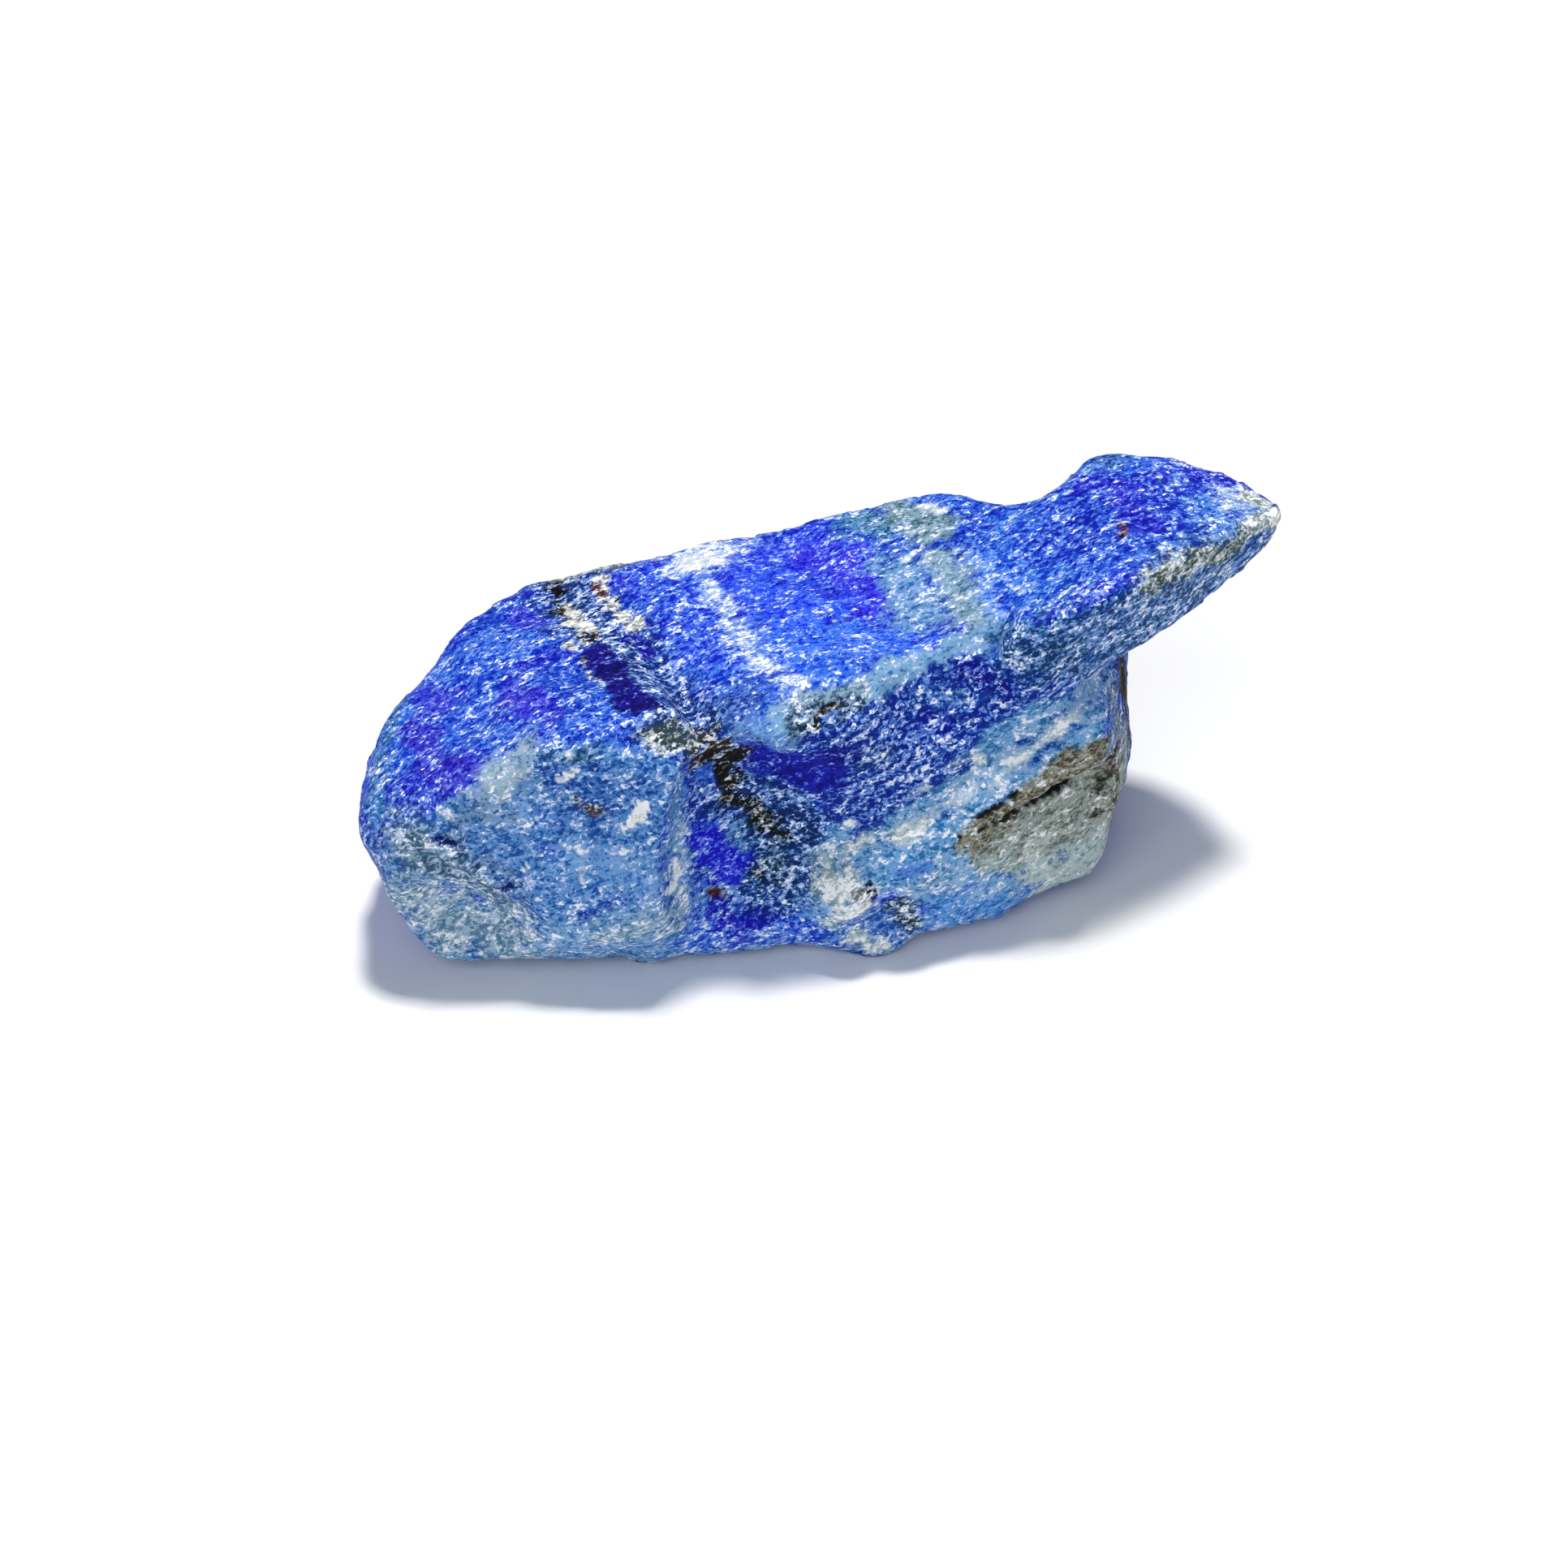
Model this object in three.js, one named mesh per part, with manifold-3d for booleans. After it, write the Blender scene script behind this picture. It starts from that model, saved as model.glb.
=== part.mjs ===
// A rough, unpolished piece of lapis lazuli, broken from the rock and left as it came.
// It lies on its flat underside, low at its thick left end and rising to an overhanging beak at the right.
// Millimetres, +X along the stone to the beak, +Y to its far side, +Z up.
import * as THREE from "three";
import { ParametricGeometry } from "three/addons/geometries/ParametricGeometry.js";
import { mergeVertices } from "three/addons/utils/BufferGeometryUtils.js";
import Module from "manifold-3d";

// Fineness of the surface: rings along the stone, and points round each ring.
const RINGS = 62;
const POINTS_ROUND = 66;

// Roundness of the stone's worn edges, and of the creases where two broken blocks meet.
const EDGE_ROUND = 0.9;
const BLOCK_CREASE = 0.9;
const VEIN_CREASE = 0.8;
const NECK_CREASE = 1.6;

// Colour of the whole stone as it looks from a step away.
const LAPIS_BLUE = "#4f73c8";

// Broken faces: the way each one looks out, as a turn from +X and a rise from level, and a point on it.
const TAIL_FACES = [
  [180, 62, -17.5, -5, 12.9], // long slope at the left of the top
  [146, 77, -12, -5, 15], // top
  [176, 12, -22.95, -8, 8.8], // left end
  [152, 8, -20.4, 1, 9], // far left corner
  [122, 6, -16.3, 5.2, 9],
  [97, 4, -9, 6.6, 8], // far side
  [-93, 8, -14, -11.5, 9], // near side
  [-84, -33, -14, -11.85, 3.4], // undercut below the near side
  [-84, -64, -14, -10.5, 0.75], // lifted edge below the undercut
  [-140, -60, -19.6, -9.6, 0.7],
  [-146, -14, -20.9, -10.2, 3], // near left corner
  [-166, -23, -21.6, -9, 4.6],
  [-126, -12, -20.9, -10.6, 0.8],
  [-125, 40, -20, -10.8, 10.6],
  [105, 45, -13.5, 5.2, 13.4], // worn far edge of the top
  [23, 32, -5.9, -10, 15.2], // slope down into the vein
  [-40, -8, -6.4, -11, 8], // near end of that side
];
// The top of the stone right of the vein: a nearly level part that meets one rising to the beak.
const LOW_TOP = [150, 82.5, -2, -5, 16.5];
const RISING_TOP = [181, 71.5, 6, -3, 18.1];
const UPPER_FACES = [
  [203, 50, -7, -4, 15.6], // slope down into the vein
  [-80, 88, 15, 0, 21.3], // top of the beak
  [-70, 45, 14, -5.7, 20.55], // worn near edge of the beak
  [-80, -6, 1, -8.9, 13], // long dark face, left part
  [-71, -3, 11, -6.4, 15], // long dark face, right part
  [-53, -8, 18, -2.6, 18.5], // near side of the beak
  [-10, -4, 22.8, 1.1, 19.8], // blunt tip
  [38, 4, 20.4, 4.9, 19], // far side of the beak
  [40, 76, 18.5, 4, 21.4],
  [75, 8, 13, 7.2, 17],
  [95, 8, 5, 7.5, 14],
  [110, 40, -9, 6.2, 14.2], // worn far edge, left part
  [-32, -51, 17.4, -2.3, 16.45], // underside of the beak
  [203, 0, -9, -10, 9], // hidden left end, inside the stone
];
const FOOT_FACES = [
  [-91, 22, 8.4, -7.2, 11.4], // pale ledge under the long dark face
  [-83, -10, -2, -10.2, 5], // near side, left part
  [-85, -38, -2, -10.85, 2.2],
  [-67, -6, 10.5, -7.25, 6], // near side, right part
  [-62, -27, 10, -7.4, 2.6],
  [-12, 6, 15.5, -2, 9], // right wall, under the beak
  [-85, -64, -2, -9.85, 0.75], // lifted edge below the near side
  [-62, -64, 10.1, -6.35, 0.75],
  [-20, -60, 14.95, -2.2, 0.7],
  [-15, -10, 15.5, -2, 4],
  [30, 5, 15, 3.5, 7],
  [75, 8, 8, 6.4, 8], // far side
  [97, 5, -4, 7.4, 8],
  [-60, 40, 14.6, -6.4, 13.6], // bevel at the right end of the ledge
  [0, 90, 0, 0, 14.2], // hidden top, inside the stone
  [203, 40, -6, -4, 13.5],
  [203, 3, -9, -9, 5], // hidden left end, inside the stone
];

// Rounded lumps that stand out, and rounded hollows that go in: centre, half sizes, and softness of the rim.
const LUMPS = [
  { at: [1.6, -9, 4.7], half: [1.6, 1.3, 1.5], soft: 0.8 },
  { at: [4.2, -8.5, 5.5], half: [1.4, 1.1, 1.1], soft: 0.7 },
  { at: [2.6, -7.7, 0.9], half: [1.9, 1.5, 1.2], soft: 0.8 },
  { at: [-11.2, 2, 13.4], half: [1.2, 1.6, 0.9], soft: 0.6 },
];
const HOLLOWS = [
  { at: [10.9, 11.4, 19.6], half: [2.9, 6.6, 5.2], soft: 1.2 }, // saddle of the neck, on the far side
  { at: [10.2, 12, 20.3], half: [5.8, 7.3, 4.6], soft: 1 }, // waist behind it
  { at: [3, -2.5, 26.6], half: [9, 7, 9.8], soft: 1 }, // shallow dish in the top
  { at: [7.5, -10.75, 24], half: [8, 5, 16], soft: 0.6 }, // scoop in the long dark face, below the bevel
  { at: [-17.8, -14.3, 4.6], half: [4.8, 4.2, 3.6], soft: 0.9 }, // chip out of the near left corner
];

// The dark hollow beside the vein is rounded too, but stops at a sharp roof under the overhanging top edge.
const DARK_HOLLOW = { at: [-2.4, -12.9, 9.5], half: [5.6, 4.4, 9.5], soft: 0.3 };
const DARK_ROOF = [43, 51, -2.2, -9.4, 14.3];
const DARK_ROOF_SOFT = 0.4;

// Steps broken out of the blocks: what lies outside both faces is gone. Softness is that of the inner corner.
const STEPS = [
  { faces: [[-80, 42, 3.5, -6.3, 17.45], [190, 30, 9.2, -5.5, 18.6]], soft: 0.3 }, // narrow bevel along the top
  { faces: [[27.6, -70, 10.8, -6.5, 9.4], [-62, 2, 10.5, -6.9, 3]], soft: 0.2 }, // grey patch under the ledge
];

// Low swells all over the surface: height, waves along each axis in radians a millimetre, and phase.
const SWELLS = [
  [0.085, 0.55, 0.3, 0.42, 0.4],
  [0.07, -0.42, 0.78, 0.3, 2.1],
  [0.05, 0.95, -0.5, 0.85, 4],
  [0.04, 0.62, 1.2, -0.9, 1.2],
  [0.022, -1.55, 0.92, 1.3, 5.2],
  [0.018, 1.9, 1.5, 0.6, 3.3],
];
// Each swell is bent by a slower wave, so that it does not repeat: how far, how slow, and its own phase.
const BEND = 1.3;
const BEND_RATE = 0.6;
const BEND_PHASE = 1.7;

// Where the middle of the stone's outline lies among the faces above: it is moved over the origin.
const MIDDLE_X = -0.267;
const MIDDLE_Y = -1.614;

// The underside is flat: the surface is carried on down to the belly, and all of it below z = 0 is cut away.
const BELLY = 1.5;
const CUT_DEPTH = 7;
const CUT_WIDTH = 80;

// The line inside the stone from which the surface is measured: it climbs ever more steeply into the beak.
const LINE_FROM = new THREE.Vector3(-15, -2, 9.2);
const LINE_TO = new THREE.Vector3(18, 1.3, 18.2);
const CLIMB_POWER = 3;
// The rings round it run with the vein at the left, and with the wall under the beak at the right.
const TURN_AT_VEIN = 20;
const TURN_AT_BEAK = -12;
const LEAN_AT_BEAK = 48;
const BEAK_BEGINS = 0.3;
const BEAK_FULL = 0.85;
// Shares of the surface given to the left end, the length and the beak's tip.
const SHARE_LEFT = 12;
const SHARE_LENGTH = 36;
const SHARE_TIP = 7;
// Each ray goes out in strides to the open air, then the last stride is halved over and over.
const FARTHEST = 30;
const STRIDE = 0.3;
const HALVINGS = 16;
const MERGE_WITHIN = 1e-4;

const UP = new THREE.Vector3(0, 0, 1);
const { clamp, degToRad, lerp, smoothstep } = THREE.MathUtils;

// The larger of two distances, rounded where they are nearly equal.
function roundedMax(a, b, width) {
  const near = Math.max(width - Math.abs(a - b), 0) / width;
  return Math.max(a, b) + (near * near * width) / 4;
}

function roundedMin(a, b, width) {
  return -roundedMax(-a, -b, width);
}

function plane([turn, rise, x, y, z]) {
  const a = degToRad(turn);
  const e = degToRad(rise);
  const out = new THREE.Vector3(Math.cos(e) * Math.cos(a), Math.cos(e) * Math.sin(a), Math.sin(e));
  return new THREE.Plane().setFromNormalAndCoplanarPoint(out, new THREE.Vector3(x, y, z));
}

// A block with flat broken faces: the distance to the face that a point is farthest outside of.
function block(faces) {
  const [first, ...others] = faces.map(plane);
  return (p) => {
    const start = first.distanceToPoint(p);
    return others.reduce((d, face) => roundedMax(d, face.distanceToPoint(p), EDGE_ROUND), start);
  };
}

const tail = block(TAIL_FACES);
const upper = block(UPPER_FACES);
const foot = block(FOOT_FACES);
const lowTop = plane(LOW_TOP);
const risingTop = plane(RISING_TOP);
const darkRoof = plane(DARK_ROOF);
const steps = STEPS.map(({ faces, soft }) => ({ faces: faces.map(plane), soft }));

function ball(p, { at, half }) {
  const x = (p.x - at[0]) / half[0];
  const y = (p.y - at[1]) / half[1];
  const z = (p.z - at[2]) / half[2];
  return (Math.hypot(x, y, z) - 1) * Math.min(...half);
}

function swell(p) {
  return SWELLS.reduce((sum, [height, x, y, z, phase]) => {
    const slow = BEND_RATE * (p.x * y + p.y * z + p.z * x) + phase * BEND_PHASE;
    return sum + height * Math.sin(p.x * x + p.y * y + p.z * z + phase + BEND * Math.sin(slow));
  }, 0);
}

// Distance from a point to the stone's skin, below zero inside.
function distance(p) {
  const top = roundedMin(lowTop.distanceToPoint(p), risingTop.distanceToPoint(p), NECK_CREASE);
  let d = roundedMin(foot(p), roundedMax(upper(p), top, EDGE_ROUND), BLOCK_CREASE);
  d = roundedMin(d, tail(p), VEIN_CREASE);
  for (const lump of LUMPS) {
    d = roundedMin(d, ball(p, lump), lump.soft);
  }
  for (const hollow of HOLLOWS) {
    d = roundedMax(d, -ball(p, hollow), hollow.soft);
  }
  const outsideHollow = roundedMax(ball(p, DARK_HOLLOW), darkRoof.distanceToPoint(p), DARK_ROOF_SOFT);
  d = roundedMax(d, -outsideHollow, DARK_HOLLOW.soft);
  for (const { faces, soft } of steps) {
    d = roundedMax(d, Math.min(...faces.map((face) => face.distanceToPoint(p))), soft);
  }
  return Math.max(d + swell(p), -p.z - BELLY);
}

// A ray from the line inside the stone: share 0 looks out of the left end, share 1 out of the beak's tip.
function rayAt(share, round) {
  const s = share * (SHARE_LEFT + SHARE_LENGTH + SHARE_TIP);
  const along = clamp((s - SHARE_LEFT) / SHARE_LENGTH, 0, 1);
  const left = clamp(1 - s / SHARE_LEFT, 0, 1);
  const tip = clamp((s - SHARE_LEFT - SHARE_LENGTH) / SHARE_TIP, 0, 1);
  const open = (Math.PI / 2) * (1 + left - tip);
  const start = LINE_FROM.clone().lerp(LINE_TO, along);
  start.z = lerp(LINE_FROM.z, LINE_TO.z, along ** CLIMB_POWER);
  const beak = smoothstep(along, BEAK_BEGINS, BEAK_FULL);
  const lean = degToRad(LEAN_AT_BEAK * beak);
  const direction = new THREE.Vector3(
    Math.cos(open) * Math.cos(lean) - Math.sin(open) * Math.sin(round) * Math.sin(lean),
    Math.sin(open) * Math.cos(round),
    Math.cos(open) * Math.sin(lean) + Math.sin(open) * Math.sin(round) * Math.cos(lean),
  );
  direction.applyAxisAngle(UP, degToRad(lerp(TURN_AT_VEIN, TURN_AT_BEAK, beak)));
  return new THREE.Ray(start, direction);
}

// The point where a ray first leaves the stone.
function skinPoint(u, v, target) {
  const ray = rayAt(v, u * 2 * Math.PI);
  let near = 0;
  let far = STRIDE;
  while (far < FARTHEST && distance(ray.at(far, target)) < 0) {
    near = far;
    far += STRIDE;
  }
  for (let i = 0; i < HALVINGS; i += 1) {
    const middle = (near + far) / 2;
    if (distance(ray.at(middle, target)) < 0) {
      near = middle;
    } else {
      far = middle;
    }
  }
  ray.at((near + far) / 2, target);
}

const wasm = await Module();
wasm.setup();

// Solid from a closed geometry: shared corners are merged, and the flat triangles at the two poles dropped.
function toSolid(geometry) {
  geometry.deleteAttribute("normal");
  geometry.deleteAttribute("uv");
  const merged = mergeVertices(geometry, MERGE_WITHIN);
  const corners = merged.index.array;
  const kept = [];
  for (let i = 0; i < corners.length; i += 3) {
    const [a, b, c] = corners.slice(i, i + 3);
    if (a !== b && b !== c && c !== a) {
      kept.push(a, b, c);
    }
  }
  return new wasm.Manifold(
    new wasm.Mesh({
      numProp: 3,
      vertProperties: new Float32Array(merged.attributes.position.array),
      triVerts: new Uint32Array(kept),
    }),
  );
}

function toGeometry(solid) {
  const mesh = solid.getMesh();
  const geometry = new THREE.BufferGeometry();
  geometry.setAttribute("position", new THREE.BufferAttribute(mesh.vertProperties, mesh.numProp));
  geometry.setIndex(new THREE.BufferAttribute(mesh.triVerts, 1));
  geometry.computeVertexNormals();
  return geometry;
}

// The whole stone, then its flat underside.
const whole = toSolid(new ParametricGeometry(skinPoint, POINTS_ROUND, RINGS));
const below = new THREE.BoxGeometry(CUT_WIDTH, CUT_WIDTH, CUT_DEPTH);
below.translate(0, 0, -CUT_DEPTH / 2);
const stoneGeometry = toGeometry(whole.subtract(toSolid(below)));
stoneGeometry.translate(-MIDDLE_X, -MIDDLE_Y, 0);

const stone = new THREE.Mesh(
  stoneGeometry,
  new THREE.MeshStandardMaterial({ color: LAPIS_BLUE, roughness: 0.75, metalness: 0 }),
);
stone.name = "stone";

const roughLapis = new THREE.Group();
roughLapis.add(stone);

export default roughLapis;
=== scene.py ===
import bpy
import numpy as np
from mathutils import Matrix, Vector


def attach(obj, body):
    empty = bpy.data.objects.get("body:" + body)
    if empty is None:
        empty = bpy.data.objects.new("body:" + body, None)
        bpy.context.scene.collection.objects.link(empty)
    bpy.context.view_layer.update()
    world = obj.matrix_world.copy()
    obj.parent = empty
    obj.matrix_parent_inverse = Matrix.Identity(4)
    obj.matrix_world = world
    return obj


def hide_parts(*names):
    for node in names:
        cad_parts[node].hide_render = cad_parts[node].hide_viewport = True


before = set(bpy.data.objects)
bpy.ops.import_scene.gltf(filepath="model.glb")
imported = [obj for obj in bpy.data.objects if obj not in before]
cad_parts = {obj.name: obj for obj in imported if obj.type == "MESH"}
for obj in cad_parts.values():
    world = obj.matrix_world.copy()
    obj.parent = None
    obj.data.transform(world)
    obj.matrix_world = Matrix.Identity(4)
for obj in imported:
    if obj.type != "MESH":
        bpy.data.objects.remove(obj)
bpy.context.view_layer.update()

# The stone
# One rough piece of lapis lazuli, broken from the rock by blows and left as it came. Blue and violet lazurite
# is mixed with white calcite, grey-green matrix rock and specks of brown-black pyrite and mica. Its broken
# faces are flat but grainy, its edges a little worn, and it lies on its own flat underside.

MM = 0.001

# The form is worked out in millimetres. Roundness of the worn edges, and of the creases where blocks meet:
EDGE_ROUND = 0.9
BLOCK_CREASE = 0.9
VEIN_CREASE = 0.8
NECK_CREASE = 1.6

# Broken faces: the way each one looks out, as a turn from +X and a rise from level, and a point on it.
TAIL_FACES = [
    [180, 62, -17.5, -5, 12.9],  # long slope at the left of the top
    [146, 77, -12, -5, 15],  # top
    [176, 12, -22.95, -8, 8.8],  # left end
    [152, 8, -20.4, 1, 9],  # far left corner
    [122, 6, -16.3, 5.2, 9],
    [97, 4, -9, 6.6, 8],  # far side
    [-93, 8, -14, -11.5, 9],  # near side
    [-84, -33, -14, -11.85, 3.4],  # undercut below the near side
    [-84, -64, -14, -10.5, 0.75],  # lifted edge below the undercut
    [-140, -60, -19.6, -9.6, 0.7],
    [-146, -14, -20.9, -10.2, 3],  # near left corner
    [-166, -23, -21.6, -9, 4.6],
    [-126, -12, -20.9, -10.6, 0.8],
    [-125, 40, -20, -10.8, 10.6],
    [105, 45, -13.5, 5.2, 13.4],  # worn far edge of the top
    [23, 32, -5.9, -10, 15.2],  # slope down into the vein
    [-40, -8, -6.4, -11, 8],  # near end of that side
]
# The two faces of the top, which meet in a crease to the left of the neck.
LOW_TOP = [150, 82.5, -2, -5, 16.5]
RISING_TOP = [181, 71.5, 6, -3, 18.1]
UPPER_FACES = [
    [203, 50, -7, -4, 15.6],  # slope down into the vein
    [-80, 88, 15, 0, 21.3],  # top of the beak
    [-70, 45, 14, -5.7, 20.55],  # worn near edge of the beak
    [-80, -6, 1, -8.9, 13],  # long dark face, left part
    [-71, -3, 11, -6.4, 15],  # long dark face, right part
    [-53, -8, 18, -2.6, 18.5],  # near side of the beak
    [-10, -4, 22.8, 1.1, 19.8],  # blunt tip
    [38, 4, 20.4, 4.9, 19],  # far side of the beak
    [40, 76, 18.5, 4, 21.4],
    [75, 8, 13, 7.2, 17],
    [95, 8, 5, 7.5, 14],
    [110, 40, -9, 6.2, 14.2],  # worn far edge, left part
    [-32, -51, 17.4, -2.3, 16.45],  # underside of the beak
    [203, 0, -9, -10, 9],  # hidden left end, inside the stone
]
FOOT_FACES = [
    [-91, 22, 8.4, -7.2, 11.4],  # pale ledge under the long dark face
    [-83, -10, -2, -10.2, 5],  # near side, left part
    [-85, -38, -2, -10.85, 2.2],
    [-67, -6, 10.5, -7.25, 6],  # near side, right part
    [-62, -27, 10, -7.4, 2.6],
    [-12, 6, 15.5, -2, 9],  # right wall, under the beak
    [-85, -64, -2, -9.85, 0.75],  # lifted edge below the near side
    [-62, -64, 10.1, -6.35, 0.75],
    [-20, -60, 14.95, -2.2, 0.7],
    [-15, -10, 15.5, -2, 4],
    [30, 5, 15, 3.5, 7],
    [75, 8, 8, 6.4, 8],  # far side
    [97, 5, -4, 7.4, 8],
    [-60, 40, 14.6, -6.4, 13.6],  # bevel at the right end of the ledge
    [0, 90, 0, 0, 14.2],  # hidden top, inside the stone
    [203, 40, -6, -4, 13.5],
    [203, 3, -9, -9, 5],  # hidden left end, inside the stone
]

# Rounded lumps that stand out and hollows that go in: centre, half sizes, and softness of the rim.
LUMPS = [
    [[1.6, -9, 4.7], [1.6, 1.3, 1.5], 0.8],  # white lumps low on the near side
    [[4.2, -8.5, 5.5], [1.4, 1.1, 1.1], 0.7],
    [[2.6, -7.7, 0.9], [1.9, 1.5, 1.2], 0.8],
    [[-11.2, 2, 13.4], [1.2, 1.6, 0.9], 0.6],  # white crust in the vein
]
HOLLOWS = [
    [[10.9, 11.4, 19.6], [2.9, 6.6, 5.2], 1.2],  # saddle of the neck, on the far side
    [[10.2, 12, 20.3], [5.8, 7.3, 4.6], 1],  # waist behind it
    [[3, -2.5, 26.6], [9, 7, 9.8], 1],  # shallow dish in the top
    [[7.5, -10.75, 24], [8, 5, 16], 0.6],  # scoop in the long dark face, below the bevel
    [[-17.8, -14.3, 4.6], [4.8, 4.2, 3.6], 0.9],  # chip out of the near left corner
]
# The dark hollow beside the vein stops at a sharp roof under the overhanging top edge.
DARK_HOLLOW = [[-2.4, -12.9, 9.5], [5.6, 4.4, 9.5], 0.3]
DARK_ROOF = [43, 51, -2.2, -9.4, 14.3]
DARK_ROOF_SOFT = 0.4
# Steps broken out of the blocks: what lies outside both faces is gone. The last number is how soft the step's
# outer edges are.
STEPS = [
    [[-80, 42, 3.5, -6.3, 17.45], [190, 30, 9.2, -5.5, 18.6], 0.3],  # narrow bevel along the top
    [[27.6, -70, 10.8, -6.5, 9.4], [-62, 2, 10.5, -6.9, 3], 0.2],  # grey patch under the ledge
]

# Low swells all over: height, waves along each axis in radians a millimetre, and phase. A slower wave bends
# each one: how far, at which share of its rate, and its phase as a multiple.
SWELLS = [
    [0.085, 0.55, 0.3, 0.42, 0.4],
    [0.07, -0.42, 0.78, 0.3, 2.1],
    [0.05, 0.95, -0.5, 0.85, 4],
    [0.04, 0.62, 1.2, -0.9, 1.2],
    [0.022, -1.55, 0.92, 1.3, 5.2],
    [0.018, 1.9, 1.5, 0.6, 3.3],
]
BEND = 1.3
BEND_RATE = 0.6
BEND_PHASE = 1.7

# Where the middle of the stone lies among the faces above: it is moved over the origin.
MIDDLE = np.array([-0.267, -1.614, 0])


def rounded_max(a, b, width):
    """The larger of two distances, plus a quarter of width where they are equal, fading out over width."""
    near = np.maximum(width - np.abs(a - b), 0) / width
    return np.maximum(a, b) + near**2 * width / 4


def rounded_min(a, b, width):
    """The smaller of two distances, rounded in the same way."""
    return -rounded_max(-a, -b, width)


def face(p, row):
    """Distance out of a flat face: how far p is past the face's point, along the way the face looks."""
    turn, rise = np.radians(row[:2])
    out = np.array([np.cos(rise) * np.cos(turn), np.cos(rise) * np.sin(turn), np.sin(rise)])
    return p @ out - out @ np.array(row[2:], float)


def block(p, rows):
    """A block of flat faces: the rounded larger of the distances out of all of them."""
    distance = face(p, rows[0])
    for row in rows[1:]:
        distance = rounded_max(distance, face(p, row), EDGE_ROUND)
    return distance


def egg(p, row):
    """Distance out of an egg: p from its centre over its half sizes, less one, times the smallest of them."""
    centre, half, _ = row
    return (np.linalg.norm((p - np.array(centre)) / np.array(half), axis=-1) - 1) * min(half)


def swell(p):
    """Sum of sine waves across p, each with its phase bent by a slower wave that turns x, y and z round."""
    total = 0
    for height, x, y, z, phase in SWELLS:
        slow = BEND_RATE * (p @ np.array([y, z, x])) + phase * BEND_PHASE
        total = total + height * np.sin(p @ np.array([x, y, z]) + phase + BEND * np.sin(slow))
    return total


def stone_distance(p):
    """Distance out of the stone: three blocks joined, lumps added, then hollows and steps taken out."""
    top = rounded_min(face(p, LOW_TOP), face(p, RISING_TOP), NECK_CREASE)
    upper = rounded_max(block(p, UPPER_FACES), top, EDGE_ROUND)
    d = rounded_min(block(p, FOOT_FACES), upper, BLOCK_CREASE)
    d = rounded_min(d, block(p, TAIL_FACES), VEIN_CREASE)
    for lump in LUMPS:
        d = rounded_min(d, egg(p, lump), lump[2])
    for hollow in HOLLOWS:
        d = rounded_max(d, -egg(p, hollow), hollow[2])
    outside_hollow = rounded_max(egg(p, DARK_HOLLOW), face(p, DARK_ROOF), DARK_ROOF_SOFT)
    d = rounded_max(d, -outside_hollow, DARK_HOLLOW[2])
    for one, other, soft in STEPS:
        d = rounded_max(d, np.minimum(face(p, one), face(p, other)), soft)
    return np.maximum(d + swell(p), -p[..., 2])


# The line inside the stone from which the surface is measured: it climbs ever more steeply into the beak.
LINE_FROM = np.array([-15, -2, 9.2])
LINE_TO = np.array([18, 1.3, 18.2])
CLIMB_POWER = 3
# The rings round it run with the vein at the left, and with the wall under the beak at the right, in degrees.
TURN_AT_VEIN = 20
TURN_AT_BEAK = -12
LEAN_AT_BEAK = 48
BEAK_BEGINS = 0.3
BEAK_FULL = 0.85
# Shares of the surface given to the left end, the length and the beak's tip.
SHARE_LEFT = 12
SHARE_LENGTH = 36
SHARE_TIP = 7
# Fineness of the surface, and how much closer its points are on the top than on the underside.
RINGS = 398
POINTS_ROUND = 248
CROWDING = 0.4
# How a ray looks for the surface: how long its strides are, how far they go, how often the last is halved.
STRIDE = 0.3
FARTHEST = 30
HALVINGS = 16


def smoothstep(value, low, high):
    """0 below low, 1 above high, and 3t² - 2t³ between them."""
    t = np.clip((value - low) / (high - low), 0, 1)
    return t * t * (3 - 2 * t)


def stone_rays(share, around):
    """Starts and directions of rays, out of the left end at share 0 and out of the beak's tip at share 1.

    A start lies on the line inside. A direction opens from the line's left to its right, turns round it with
    around, leans with the beak and is then turned about the upright.
    """
    s = share * (SHARE_LEFT + SHARE_LENGTH + SHARE_TIP)
    along = np.clip((s - SHARE_LEFT) / SHARE_LENGTH, 0, 1)
    left = np.clip(1 - s / SHARE_LEFT, 0, 1)
    tip = np.clip((s - SHARE_LEFT - SHARE_LENGTH) / SHARE_TIP, 0, 1)
    open_angle = np.pi / 2 * (1 + left - tip)
    climb = np.stack([along, along, along**CLIMB_POWER], axis=-1)
    starts = LINE_FROM + (LINE_TO - LINE_FROM) * climb
    beak = smoothstep(along, BEAK_BEGINS, BEAK_FULL)
    lean = np.radians(LEAN_AT_BEAK) * beak
    turn = np.radians(TURN_AT_VEIN + (TURN_AT_BEAK - TURN_AT_VEIN) * beak)
    x = np.cos(open_angle) * np.cos(lean) - np.sin(open_angle) * np.sin(around) * np.sin(lean)
    y = np.sin(open_angle) * np.cos(around)
    z = np.cos(open_angle) * np.sin(lean) + np.sin(open_angle) * np.sin(around) * np.cos(lean)
    turned = [x * np.cos(turn) - y * np.sin(turn), x * np.sin(turn) + y * np.cos(turn), z]
    return starts, np.stack(turned, axis=-1)


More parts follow.
